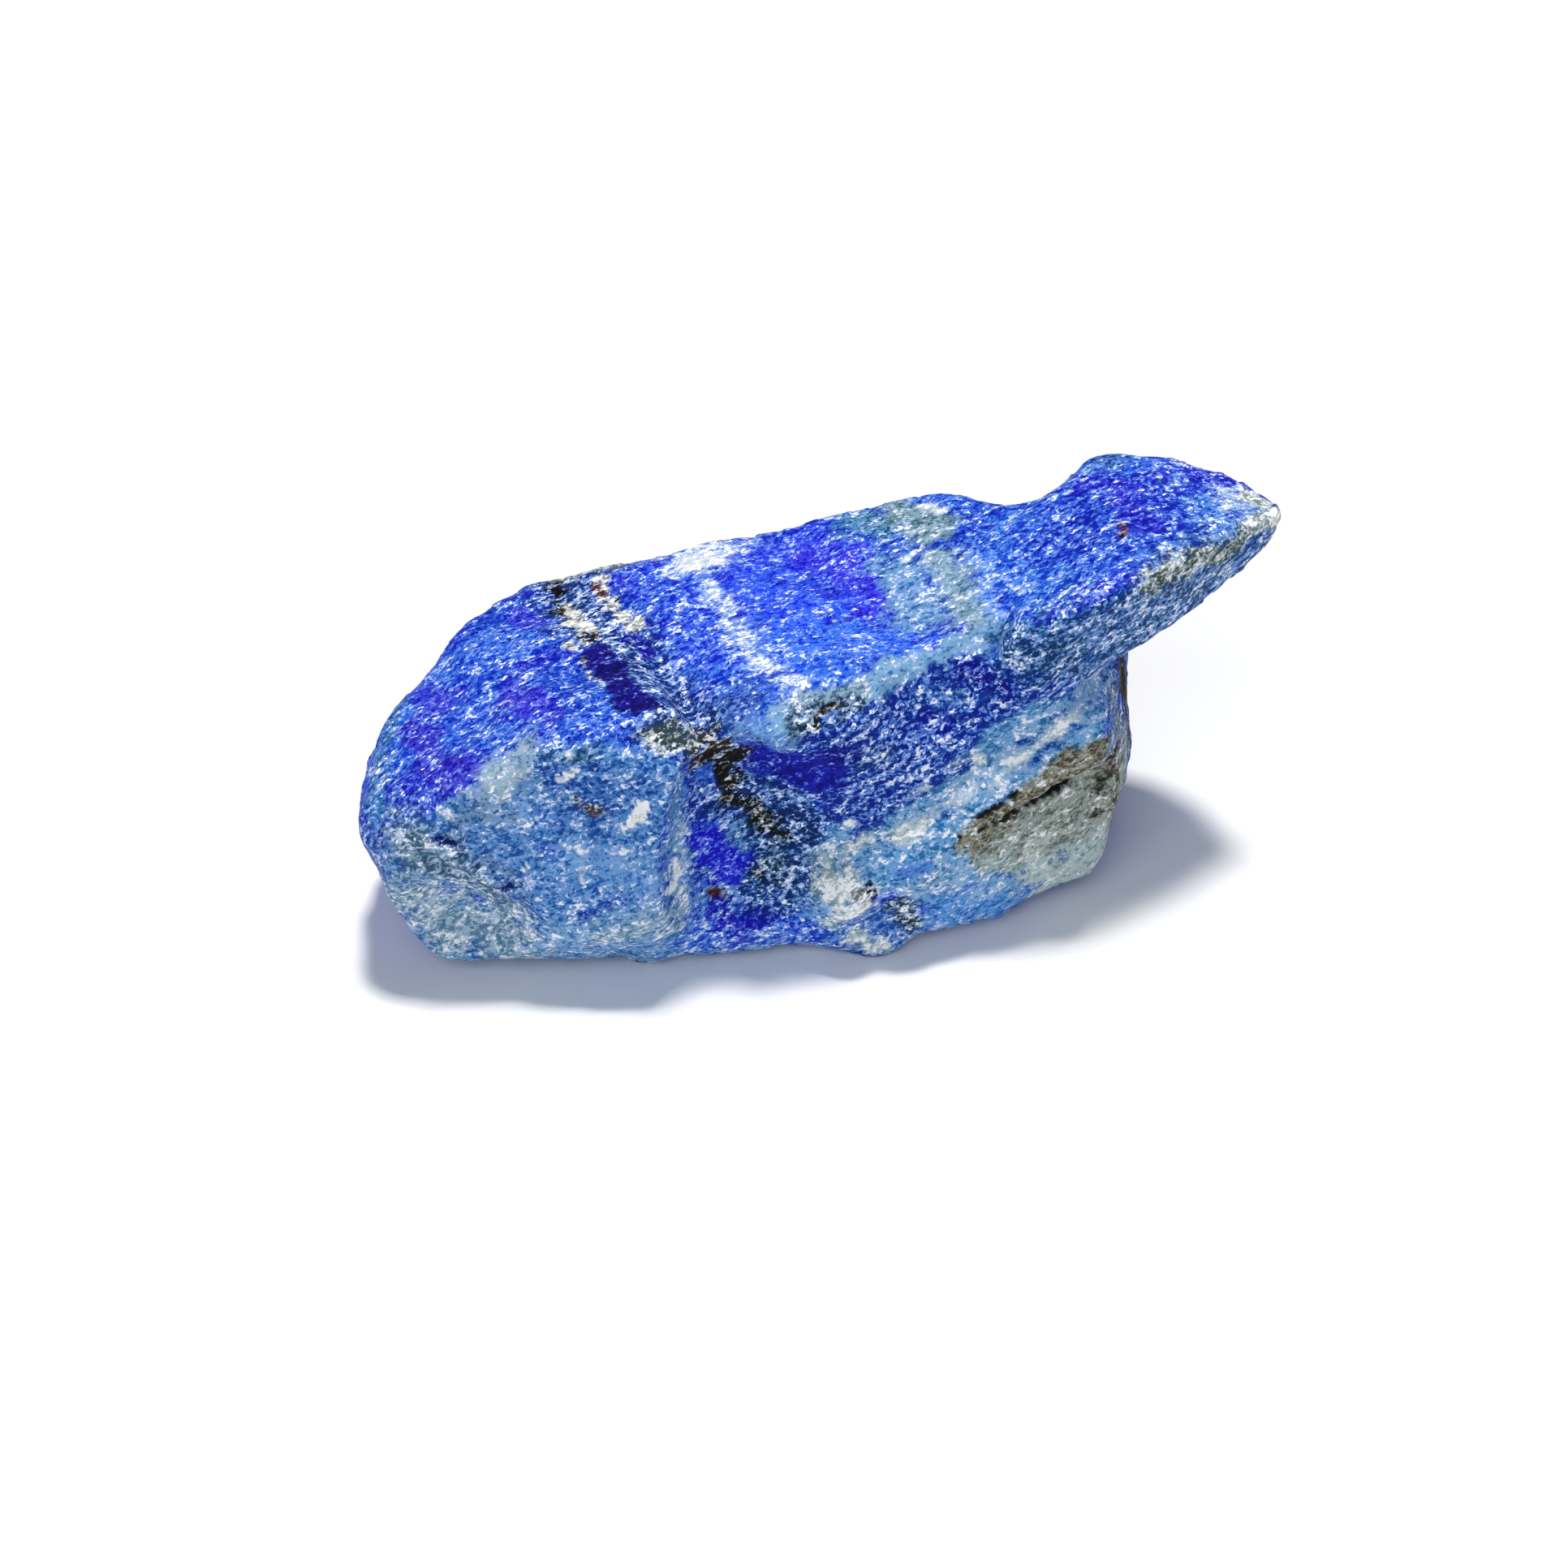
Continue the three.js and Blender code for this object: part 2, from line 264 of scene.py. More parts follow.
def stone_skin(share, around):
    """Where each ray first leaves the stone: strides out to the air, then the last stride is halved."""
    starts, directions = stone_rays(share, around)
    near = np.zeros(share.shape)
    inside = np.ones(share.shape, bool)
    for _ in range(int(FARTHEST / STRIDE)):
        far = starts + directions * (near + STRIDE)[..., None]
        inside[inside] = stone_distance(far[inside]) < 0
        if not inside.any():
            break
        near = np.where(inside, near + STRIDE, near)
    step = np.full(share.shape, STRIDE)
    for _ in range(HALVINGS):
        step = step / 2
        middle = starts + directions * (near + step)[..., None]
        near = np.where(stone_distance(middle) < 0, near + step, near)
    return starts + directions * (near + step / 2)[..., None]


ring = np.arange(1, RINGS + 1) / (RINGS + 1)
point = np.arange(POINTS_ROUND) / POINTS_ROUND * 2 * np.pi
share, around = np.meshgrid(ring, point + CROWDING * np.cos(point), indexing="ij")
poles = stone_skin(np.array([0.0, 1.0]), np.zeros(2))
skin = np.vstack([stone_skin(share, around).reshape(-1, 3), poles])

# Each square of the grid between two rings, and the fans of triangles that close the two ends.
corner = np.arange(RINGS * POINTS_ROUND).reshape(RINGS, POINTS_ROUND)
beside = np.roll(corner, -1, axis=1)
squares = np.stack([corner[:-1], beside[:-1], beside[1:], corner[1:]], axis=-1).reshape(-1, 4)
left_fan = np.stack([np.full(POINTS_ROUND, corner.size), beside[0], corner[0]], axis=-1)
tip_fan = np.stack([np.full(POINTS_ROUND, corner.size + 1), corner[-1], beside[-1]], axis=-1)

# The grain of the broken surface: small flat breaks, and crumbs between them, each with its size across, its
# height and the number of its pattern.
NOISE_CUBES = 64  # the patterns repeat after this many cubes
BREAKS = [[1.9, 0.06, 11], [0.85, 0.045, 12]]
BREAK_TILT = 2  # how much a break's tilt counts beside its height
CRUMBS = [[0.42, 0.05, 13]]
RIM_CLEAR = 0.35  # the grain fades out this far above the flat underside
PROBE = 0.01  # the small step along each axis that finds which way a surface looks


def lattice_noise(p, size, seed):
    """Smooth noise from 0 to 1: random numbers at the corners of cubes, blended by 3t² - 2t³."""
    table = np.random.default_rng(seed).random((NOISE_CUBES,) * 3)
    cell = np.floor(p / size)
    t = p / size - cell
    t = t * t * (3 - 2 * t)
    total = 0
    for step in np.ndindex(2, 2, 2):
        i, j, k = ((cell + step) % NOISE_CUBES).astype(int).T
        total = total + np.prod(np.where(np.array(step) == 1, t, 1 - t), axis=-1) * table[i, j, k]
    return total


def broken_grains(p, size, seed):
    """Flat breaks of about -1 to 1: each point takes the height and the tilt of the nearest centre.

    The centres are scattered, one to each cube of this size.
    """
    random = np.random.default_rng(seed).random((NOISE_CUBES, NOISE_CUBES, NOISE_CUBES, 7))
    cell = np.floor(p / size)
    nearest = np.full(len(p), np.inf)
    height = np.zeros(len(p))
    for step in np.ndindex(3, 3, 3):
        cube = cell + np.array(step) - 1
        i, j, k = (cube % NOISE_CUBES).astype(int).T
        grain = random[i, j, k]
        away = p / size - cube - grain[:, :3]
        distance = np.sum(away**2, axis=-1)
        closer = distance < nearest
        nearest = np.where(closer, distance, nearest)
        tilted = (grain[:, 3] - 0.5) + np.sum(away * (grain[:, 4:] - 0.5), axis=-1) * BREAK_TILT
        height = np.where(closer, tilted, height)
    return height


def path_distance(p, path):
    """Distance from p to the nearest of the straight pieces between the path's points."""
    corners = np.array(path, float)
    nearest = np.full(len(p), np.inf)
    for a, b in zip(corners[:-1], corners[1:]):
        t = np.clip((p - a) @ (b - a) / ((b - a) @ (b - a)), 0, 1)
        nearest = np.minimum(nearest, np.linalg.norm(p - a - t[:, None] * (b - a), axis=-1))
    return nearest


# Lines raised on the surface, or cut into it where the height is below zero: height, half width and path.
LINES = [
    # Crack in the grey patch, and wrinkles at its right
    [-0.35, 0.22, [[9.6, -7.2, 8.2], [11.1, -6.3, 8.5], [12.7, -5.5, 8.9]]],
    [-0.14, 0.3, [[13.2, -5.2, 9.6], [13.9, -4.7, 7.5], [13.6, -4.7, 5]]],
    [0.12, 0.35, [[14.2, -4.4, 9.8], [14.7, -4, 7.5], [14.2, -4.2, 4.5]]],
    # Folds at the lower left
    [0.24, 0.35, [[-19.6, -10.9, 10.2], [-18, -11.3, 9], [-16.6, -11.3, 7.7], [-15, -11.6, 6.6]]],
    [-0.26, 0.3, [[-19.8, -11, 9.3], [-18.2, -11.3, 8.2], [-16.8, -11.3, 7]]],
    [0.22, 0.3, [[-20.4, -11, 8.2], [-18.8, -11, 7], [-17.4, -11, 5.8]]],
    [-0.2, 0.25, [[-20.3, -10.8, 7], [-18.6, -10.4, 5.6]]],
    # Small crack in the top, and the white blob on the near side
    [-0.16, 0.14, [[4.9, 2.2, 17.7], [6.2, 2.8, 17.9]]],
    [0.15, 0.35, [[-8.6, -11.4, 12.2], [-9.3, -11.4, 11]]],
]


def uphill(shape, p, *rest):
    """The way in which a shape's distance grows at p, of length 1, from its rise along each axis."""
    slopes = [shape(p + axis, *rest) - shape(p - axis, *rest) for axis in np.eye(3) * PROBE]
    return np.stack(slopes, axis=-1) / np.linalg.norm(slopes, axis=0)[:, None]


outward = uphill(stone_distance, skin)
relief = np.zeros(len(skin))
for size, height, seed in BREAKS:
    relief += height * broken_grains(skin, size, seed)
for size, height, seed in CRUMBS:
    relief += height * (lattice_noise(skin, size, seed) - 0.5)
for height, half_width, path in LINES:
    relief += height * np.exp(-(path_distance(skin, path) / half_width) ** 2)
relief *= smoothstep(skin[:, 2], 0, RIM_CLEAR)
surface = skin + outward * relief[:, None]
surface[:, 2] = np.maximum(surface[:, 2], 0)

stone_mesh = bpy.data.meshes.new("rough_lapis")
polygons = squares.tolist() + left_fan.tolist() + tip_fan.tolist()
stone_mesh.from_pydata(((surface - MIDDLE) * MM).tolist(), [], polygons)
stone_mesh.shade_smooth()
stone_mesh.update()
stone = bpy.data.objects.new("rough_lapis", stone_mesh)
bpy.context.collection.objects.link(stone)


def linear(hex_colour):
    """An sRGB hex colour as linear light: (c + 0.055) / 1.055 to the power 2.4, or c / 12.92 if dark."""
    c = np.array([int(hex_colour[i : i + 2], 16) for i in (1, 3, 5)]) / 255
    return np.where(c > 0.04045, ((c + 0.055) / 1.055) ** 2.4, c / 12.92)


# What the rock is made of from place to place: its colour, and how much of it is white calcite grains and how
# much is dark grains, from 0 to 1. A white share over 1 leaves little but calcite.
LAZURITE = ["#1c50cc", 0.54, 0.46]
# Clouds of other blues: colour, size, the level of noise above which they show, and the pattern's number.
BLUE_CLOUDS = [["#3070dc", 5.0, 0.55, 21], ["#2c2ccc", 4.2, 0.6, 22], ["#4a78b0", 6.0, 0.66, 23]]
CLOUD_COARSE = 0.6  # this share of a cloud's noise has its size, and the rest is so many times finer
CLOUD_FINER = 3
CLOUD_FINER_SEED = 5  # added to the pattern's number
CLOUD_EDGE = 0.12  # it fades in from this far below its level to this far above
CLOUD_FRAY = 0.15  # how far grains that stray across its edge shift that level
# Faces that are of one kind of rock all over, each with its kind of shape and its row above. A face's rock
# fades out this far off it, and where the stone looks another way: 1 is the same way, 0 is square to it.
FACE_NEAR = [0.35, 0.65]
FACE_ALIKE = [0.7, 0.86]
FACES_OF_ROCK = [
    ["#1c5cbc", 0.61, 0.59, face, UPPER_FACES[3]],  # long dark face
    ["#1c5cbc", 0.61, 0.59, face, UPPER_FACES[4]],
    ["#1c5cbc", 0.61, 0.59, egg, HOLLOWS[3]],
    ["#3c76b4", 0.64, 0.51, face, UPPER_FACES[5]],  # near side of the beak
    ["#5490cc", 0.6, 0.45, face, TAIL_FACES[6]],  # flat near side of the left end
    ["#6ca0d0", 0.62, 0.42, face, TAIL_FACES[7]],
    ["#6ca0d0", 0.62, 0.42, face, TAIL_FACES[8]],
    ["#68a4d0", 0.62, 0.42, face, FOOT_FACES[0]],  # pale ledge
    ["#68a4d0", 0.62, 0.42, face, FOOT_FACES[13]],
]
# Patches: after the colour and shares, how far one reaches from its path, how soft its edge is from 0 to 1,
# and the path. They lie one over another in this order.
PATCHES = [
    # Left end
    ["#3a3ad0", 0.48, 0.46, 1, 0.7, [[-20.1, -1.4, 11.4], [-18.6, -3.4, 12.3]]],
    ["#3a34c8", 0.5, 0.48, 0.9, 0.7, [[-20.3, -4.2, 11.6], [-19.1, -7.7, 12.1], [-17.6, -9.6, 12.9]]],
    ["#3a34c8", 0.46, 0.44, 0.7, 0.7, [[-17.6, -9.6, 12.9], [-16.4, -10.4, 13.3]]],
    ["#3d36d0", 0.5, 0.46, 1, 0.7, [[-15.2, -5, 14], [-13.4, -8.1, 14.9]]],
    ["#3a40d0", 0.48, 0.46, 0.7, 0.7, [[-15.3, 2.4, 13.4], [-14.2, 0.8, 13.9]]],
    ["#2c64d8", 0.57, 0.44, 1.4, 0.9, [[-19.1, -0.6, 12], [-15.1, -0.9, 13.9]]],
    ["#2c60d4", 0.58, 0.46, 1.2, 0.9, [[-16.9, -7, 13.1], [-14.5, -9, 14.4]]],
    ["#3c78b8", 0.56, 0.46, 0.7, 0.6, [[-21.3, -2.1, 10.9], [-21.9, -5.6, 10.6], [-21.9, -9.6, 10.3]]],
    ["#4c80a8", 0.6, 0.48, 0.5, 0.6, [[-14.5, -9.6, 14.6], [-11.2, -10.9, 15]]],
    # Vein across the top
    ["#3e66a8", 0.66, 0.6, 1.8, 0.7,
     [[-13.4, 5, 13.7], [-11.6, 0.5, 14.4], [-8.2, -5.4, 15], [-6.6, -10.1, 15.9]]],
    ["#98a4a8", 0.74, 0.58, 0.8, 0.7, [[-13.7, 5.6, 13.5], [-10.3, 4.9, 14.6]]],
    ["#b8bab4", 0.9, 0.66, 0.44, 0.7,
     [[-11, 3.2, 14.6], [-10.5, 1.5, 14.6], [-9.8, 0.3, 14.8], [-9.3, -0.8, 14.8]]],
    ["#c8c4b4", 0.96, 0.66, 0.48, 0.7, [[-12.8, 1.8, 13.9], [-12.1, 0.4, 14.4], [-11.3, -1.5, 14.8]]],
    ["#a09c90", 0.7, 0.56, 0.3, 0.5, [[-12.3, -1.8, 14.6], [-11.5, -4.2, 14.9], [-10.8, -6.1, 15.4]]],
    ["#180890", 0.31, 0.62, 0.85, 0.4,
     [[-11.1, -3, 14.9], [-10.1, -5.1, 15.3], [-9.2, -7.3, 15.8], [-8.7, -8.6, 15.9]]],
    ["#1c50a4", 0.54, 0.58, 0.35, 0.6, [[-8.9, -1.9, 14.9], [-8, -5.5, 15.1], [-7.1, -8.4, 15.9]]],
    ["#2818b4", 0.5, 0.56, 0.4, 0.5, [[-9.3, -1.5, 14.9], [-8.6, -2.9, 15]]],
    ["#1448a8", 0.5, 0.54, 0.5, 0.5, [[-7.8, -7.7, 16], [-6.9, -9.2, 15.9]]],
    ["#241008", 0.48, 0.85, 0.42, 0.6, [[-13.9, 4.6, 13.5], [-13.3, 3.4, 13.8]]],
    ["#7a300c", 0.42, 0.6, 0.3, 0.5, [[-11.3, 2.8, 14.5], [-10.9, 2.5, 14.6]]],
    ["#4c1c14", 0.52, 0.76, 0.42, 0.6, [[-11.6, -1, 14.7], [-11, -1.9, 14.9]]],
    ["#0e0b0a", 0.5, 0.9, 0.28, 0.6, [[-10.5, 2, 14.6], [-10.2, 1.4, 14.7]]],
    ["#201e1c", 0.6, 0.76, 0.25, 0.5, [[-13.5, 2.6, 13.9], [-12.7, 0.6, 14.3]]],
    ["#5b4b40", 0.6, 0.7, 0.25, 0.5, [[-11.9, -3.4, 14.8], [-11.1, -5.2, 15.2]]],
    # Top right of the vein
    ["#3058dc", 0.58, 0.44, 1.4, 0.9, [[-8.6, 3.6, 15], [-6.6, 0.6, 15.6], [-5.4, -4.4, 15.9]]],
    ["#98b8f0", 0.9, 0.36, 1.15, 0.95, [[-6.9, 4.2, 15.4], [-3.6, 4.4, 15.9]]],
    ["#dce8f8", 1.04, 0.3, 0.5, 0.9, [[-6.4, 4.1, 15.4], [-4.6, 3.8, 15.7]]],
    ["#3044e0", 0.5, 0.4, 1.6, 1, [[-2.8, 3.4, 16], [-0.6, 4.6, 16.5]]],
    ["#3834dc", 0.5, 0.4, 1.4, 1, [[0, 3, 16.5], [2.2, 0.2, 16.9], [2.6, -1.4, 16.8]]],
    ["#3058e8", 0.51, 0.36, 2, 0.9, [[-3, 0.6, 16.2], [-1, -2, 16.6]]],
    ["#3870e8", 0.57, 0.36, 1.8, 0.9, [[-1.6, -4.8, 16.8], [3.6, -4.6, 17.2]]],
    ["#94b4ec", 0.83, 0.44, 0.62, 0.95,
     [[-5.5, 1.6, 15.8], [-4.6, -1.6, 15.9], [-3.4, -5, 16.4], [-1.2, -8, 16.4]]],
    ["#4c88b4", 0.56, 0.44, 0.9, 0.8, [[1.5, 5.5, 17.1], [3.1, 3.9, 17.5]]],
    ["#7094a4", 0.58, 0.42, 1.2, 0.7, [[3.8, 5.8, 17.6], [5.8, 3.2, 18]]],
    ["#7ca0b8", 0.59, 0.38, 1.2, 0.8, [[6, 1, 17.8], [6.9, -1.9, 17.9], [7.3, -4.6, 18.1]]],
    ["#6494c8", 0.58, 0.38, 1.2, 0.8, [[3.6, 1, 17.3], [4.8, -2.8, 17.2]]],
    ["#c8d8e4", 0.9, 0.3, 0.4, 0.6, [[5.3, 5.6, 17.9], [6.2, 4.7, 18.1]]],
    ["#b8cce0", 0.86, 0.3, 0.3, 0.6, [[4, 1.3, 17.5], [5, 2.2, 17.7]]],
    ["#6c9ce8", 0.7, 0.32, 0.6, 0.7, [[8, 0, 18.6], [8.5, -4.3, 18.4]]],
    ["#3474dc", 0.6, 0.46, 1.7, 0.9, [[9.6, 1.4, 19.2], [10.5, -4, 19.4]]],
    # Beak
    ["#2450cc", 0.54, 0.5, 2.4, 0.7, [[12.3, 0, 20.2], [17.1, 0.4, 21.2]]],
    ["#2c30c8", 0.49, 0.48, 0.8, 0.7, [[13.1, 3.3, 20.6], [15, 2.2, 21.1], [15.7, -0.8, 21.1]]],
    ["#4c84d8", 0.64, 0.42, 0.9, 0.8, [[18.6, 1.2, 21.2], [19.2, -1.2, 21.2]]],
    ["#84a8dc", 0.74, 0.42, 1, 0.8, [[20, 2, 21], [21.4, 0.4, 20.8]]],
    ["#acb8bc", 0.82, 0.5, 0.66, 0.7, [[21.4, 2, 20.8], [22, 0.6, 20.7], [21, -0.8, 20.5]]],
    ["#4078b4", 0.64, 0.51, 1.4, 0.8, [[11.4, -6, 18.6], [15, -4.6, 18.8], [19.6, -2, 19.6]]],
    ["#82928e", 0.7, 0.55, 0.7, 0.9, [[15.6, -4.5, 20.2], [18, -3, 20.4], [20.2, -1.4, 20.4]]],
    ["#4478ac", 0.64, 0.52, 0.8, 0.8, [[14.4, -4.6, 16.8], [16.4, -3.8, 17.6], [18.4, -2.6, 18.8]]],
    ["#805044", 0.5, 0.5, 0.22, 0.5, [[14.7, -0.6, 21], [14.5, -0.9, 20.9]]],
    ["#14100c", 0.4, 0.9, 0.13, 0.5, [[14.4, -1.1, 20.9], [14.5, -1.3, 20.9]]],
    # Bevel along the near edge of the top, and the flat triangle at its left end
    ["#5c8ccc", 0.54, 0.38, 0.7, 0.5, [[-4, -9.5, 15.2], [-1.4, -9.4, 14.9]]],
    ["#74a4cc", 0.55, 0.34, 0.66, 0.35,
     [[-1.8, -9, 15.6], [1.2, -8, 16.3], [5.9, -5.9, 17.3], [8.4, -5.2, 18]]],
    ["#88a8bc", 0.6, 0.42, 0.5, 0.8, [[-0.9, -8.6, 15.8], [1.6, -7.8, 16.5]]],
    ["#54708c", 0.57, 0.58, 0.42, 0.9, [[-1, -9, 15.3], [0.4, -8.7, 15.5], [1.6, -8.2, 15.9]]],
    ["#343c34", 0.56, 0.7, 0.22, 0.9, [[-0.2, -9, 15.2], [0.6, -8.7, 15.4]]],
    # Long dark face
    ["#1820a8", 0.53, 0.6, 0.8, 0.9, [[-0.6, -9, 12.6], [1.3, -9, 13.5]]],
    ["#1824b0", 0.54, 0.6, 0.7, 0.9, [[5.4, -7.3, 13.8], [6.4, -7, 14.8]]],
    ["#1c30b4", 0.55, 0.58, 0.7, 0.9, [[7, -6.2, 16.3], [8.7, -6.6, 15.6]]],
    ["#3c74bc", 0.63, 0.54, 0.5, 0.9, [[4.4, -7, 15.4], [6.6, -6.6, 14.6]]],
    ["#3468ac", 0.64, 0.56, 0.5, 0.9, [[2, -8.8, 12.8], [3.2, -8.4, 13.2]]],
    ["#3c74a4", 0.62, 0.54, 1.2, 0.9, [[9.6, -6.3, 18.2], [10.8, -6.6, 17.4], [12.5, -5.8, 16.4]]],
    # Pale ledge and the white streaks beside it
    ["#84b0d4", 0.66, 0.3, 0.8, 0.9, [[7, -7.8, 10.2], [12.4, -6.2, 13.6], [15, -3.4, 14.6]]],
    ["#3468b4", 0.52, 0.52, 0.22, 0.7, [[3.4, -8.4, 9.6], [7, -7.6, 11.4], [11.8, -6.2, 13.8]]],
    ["#c0d8e8", 0.95, 0.28, 0.26, 0.7, [[1.5, -8.5, 9], [4.6, -7.9, 10.7], [8.4, -7.2, 12.2]]],
    ["#c0d8e8", 0.95, 0.28, 0.3, 0.7, [[8.4, -7.4, 10.5], [10.4, -6.8, 12], [12.4, -6.3, 13.4]]],
    ["#3c78bc", 0.54, 0.5, 0.22, 0.7, [[6.4, -8, 9], [9, -7.4, 10.4], [12.6, -6.5, 12.9]]],
    ["#b4d0e4", 0.82, 0.3, 0.26, 0.7, [[3.6, -8.5, 8.6], [6.8, -7.9, 9.8], [8, -7.6, 10.2]]],
    ["#c4d4d8", 0.88, 0.36, 0.5, 0.6, [[1.4, -8.8, 7.2], [2, -8.7, 8]]],
    ["#c4d4d8", 0.88, 0.34, 0.55, 0.6, [[3.6, -8.6, 8.1], [5, -8.3, 8.6]]],
    # Near side of the foot
    ["#5498d8", 0.56, 0.4, 1.5, 0.8, [[6.4, -8.6, 3.4], [10, -6.8, 2.2]]],
    ["#74a8cc", 0.66, 0.44, 1.1, 0.8, [[5.6, -9, 5.8], [7, -8.6, 5.4]]],
    ["#2c70dc", 0.62, 0.55, 1.7, 0.7, [[-5.6, -9.9, 3], [-0.4, -9.5, 2.4]]],
    ["#2c30cc", 0.53, 0.52, 0.8, 0.6, [[-5.3, -9.8, 3.8], [-3.9, -9.8, 2.4], [-2, -9.5, 3.6]]],
    ["#5088cc", 0.64, 0.48, 1.3, 0.8, [[1.6, -9.4, 3], [4.4, -9, 1.8]]],
    ["#98b8c4", 0.74, 0.42, 1, 0.7, [[0, -8.9, 6.6], [0.8, -9.4, 5.4], [0.6, -9.4, 3.6]]],
    ["#d4dcd8", 1.06, 0.5, 0.95, 0.7, [[1, -9.8, 5.4], [1.7, -10, 4.6]]],
    ["#bcd0d8", 0.86, 0.44, 0.6, 0.6, [[1.9, -9.3, 1.5], [3.1, -9.3, 0.8]]],
    ["#587480", 0.66, 0.6, 0.65, 0.8, [[3.9, -9, 3.6], [4.6, -8.8, 2.3]]],
    ["#4c80cc", 0.5, 0.3, 0.45, 0.3, [[3.9, -9.4, 6.4], [5.2, -9.1, 6.3]]],
    ["#80a8cc", 0.6, 0.3, 0.45, 0.4, [[4.4, -9.4, 4.9], [5.1, -9.1, 4.2]]],
    ["#181410", 0.62, 0.85, 0.2, 0.6,
     [[1.9, -9.6, 6.4], [2.6, -9.7, 5.7], [2.4, -9.9, 5.1], [1.6, -10.1, 4.7]]],
    ["#2c2820", 0.6, 0.8, 0.2, 0.7, [[1.2, -9.5, 6.2], [1.8, -9.6, 5.7]]],
    # Grey patch of matrix rock
    ["#949c94", 0.54, 0.4, 2.3, 0.15,
     [[8.9, -7.8, 6.6], [11.9, -6, 6.6], [14, -4.8, 8], [14.6, -4.3, 5.6]]],
    ["#90968c", 0.54, 0.44, 1.1, 0.1,
     [[8.2, -8.1, 7.4], [10.6, -7.4, 9], [12.5, -6.8, 10.4], [14, -5.8, 11.2]]],
    ["#878470", 0.5, 0.48, 0.9, 0.3,
     [[7.6, -8.3, 7.3], [9.2, -7.9, 8.2], [10.8, -7.4, 9.6], [12.4, -6.9, 11]]],
    ["#878470", 0.5, 0.48, 0.9, 0.3, [[12.4, -6.9, 11], [13.6, -6.4, 11.7], [15, -4.2, 11.2]]],
    ["#b0c4c4", 0.6, 0.36, 1.6, 0.6, [[11.2, -6.4, 3.8], [12.8, -5.4, 2.6], [14.4, -4.4, 3.2]]],
    ["#98b0b0", 0.56, 0.36, 0.7, 0.6, [[8.5, -8, 5.7], [9.7, -7.3, 4.6]]],
    ["#7cb0d8", 0.62, 0.4, 0.75, 0.5, [[6.8, -8.6, 5.8], [7.6, -8.4, 4.7], [9, -7.7, 3.6]]],
    ["#6c645a", 0.54, 0.58, 0.6, 0.5, [[14.8, -4, 10], [14.8, -3.8, 5.4]]],
    # Painted shade: the black lines in the crack, and the dark line along the grey patch's top edge under the
    # overhanging pale ledge
    ["#0a0806", 0.1, 1.0, 0.22, 0.1, [[10, -7, 8.3], [11.1, -6.3, 8.5], [12.7, -5.5, 8.9]]],
    ["#2a2620", 0.4, 0.8, 0.16, 0.3, [[7.8, -8, 7.6], [10, -7, 8.3]]],
    ["#24221a", 0.2, 0.9, 0.13, 0.2, [[6.9, -8.5, 7.7], [8.4, -8, 9], [9.9, -7.5, 9.9]]],
    ["#4c4a3c", 0.44, 0.6, 0.2, 0.6, [[13.9, -5, 10.4], [14.2, -4.8, 8], [13.8, -4.9, 5.4]]],
    ["#b8c0b8", 0.66, 0.4, 0.3, 0.7, [[10.6, -6.6, 5.2], [12.2, -5.8, 5.8]]],
    # Right wall: the ledge's end; a black-green strip right under the beak, which is painted shade of the
    # beak on the wall and is carried on down the wall as a dark green vein; and matrix rock below it
    ["#5c90c4", 0.6, 0.46, 1, 0.6, [[14.4, -3.5, 13.8], [14.6, -5, 12.2], [14.7, -5.2, 11.4]]],
    # Painted shade: the black-green strip where the beak shades the wall
    ["#08201c", 0.3, 0.84, 1.05, 0.6, [[15.4, -1.7, 14.4], [15.4, -1.8, 12], [15.8, -1.5, 10.2]]],
    ["#244844", 0.54, 0.68, 0.8, 0.9, [[16, -0.8, 9.6], [16.3, 0.8, 6], [16, 1.2, 2.6]]],
    ["#244844", 0.54, 0.7, 0.5, 0.9, [[15.7, -0.9, 11.2], [15.8, 1, 9.4], [15.6, 2.6, 8.6]]],
    ["#8c9c94", 0.56, 0.46, 0.75, 0.6, [[15.5, -2.7, 9.6], [15.8, -1.9, 7.4], [15.5, -2.4, 5.2]]],
    ["#84847c", 0.66, 0.58, 0.34, 0.6, [[13.9, -5.4, 13.3], [14.6, -4, 13]]],
    # Far side: the vein and the bedding go on through the stone
    ["#3e66a8", 0.62, 0.54, 1.7, 0.8,
     [[-13.2, 6.4, 10.8], [-13, 6.7, 7.6], [-12.8, 6.9, 4.4], [-12.6, 6.4, 0.5]]],
    ["#8c9ca4", 0.72, 0.58, 0.8, 0.8, [[-13, 6.3, 12], [-12.9, 6.9, 8.6], [-12.6, 7, 5.2]]],
    ["#b8b8ac", 0.84, 0.58, 0.4, 0.7, [[-11.9, 6.4, 12.2], [-11.8, 6.9, 11], [-12, 7, 8.8]]],
    ["#1c0c98", 0.44, 0.6, 0.6, 0.5, [[-14.4, 6.2, 7.4], [-14.2, 6.6, 4.6]]],
    ["#5c98d4", 0.62, 0.42, 1.3, 0.9, [[-6, 7.2, 2.6], [2, 7.6, 5.8], [10, 7.2, 9], [13, 6.4, 10.2]]],
    ["#84b0cc", 0.7, 0.42, 0.4, 0.8, [[-2, 7.4, 5.4], [5, 7.6, 8.2], [9, 7.4, 9.8]]],
    ["#6c8c98", 0.62, 0.5, 1.5, 0.8, [[3, 7.2, 13.6], [6.6, 6.6, 14.8]]],
    ["#2c28c4", 0.5, 0.5, 1.5, 0.8, [[-3, 7.2, 11.4], [-0.5, 7.4, 12.4]]],
    ["#708c94", 0.64, 0.5, 1.2, 0.8, [[14.4, 5, 6], [15.2, 4, 3]]],
    ["#3c74c0", 0.6, 0.48, 1.4, 0.9, [[16, 1.6, 11], [15.8, 2.4, 7]]],
    ["#2c34cc", 0.5, 0.48, 1.2, 0.8, [[-21.4, -1, 8], [-19.6, 2, 5]]],
    # Dark hollow
    ["#1860a4", 0.59, 0.6, 2, 0.5, [[-2.8, -8.8, 11.4], [-2, -8.6, 8.6], [-2.4, -9, 5.4]]],
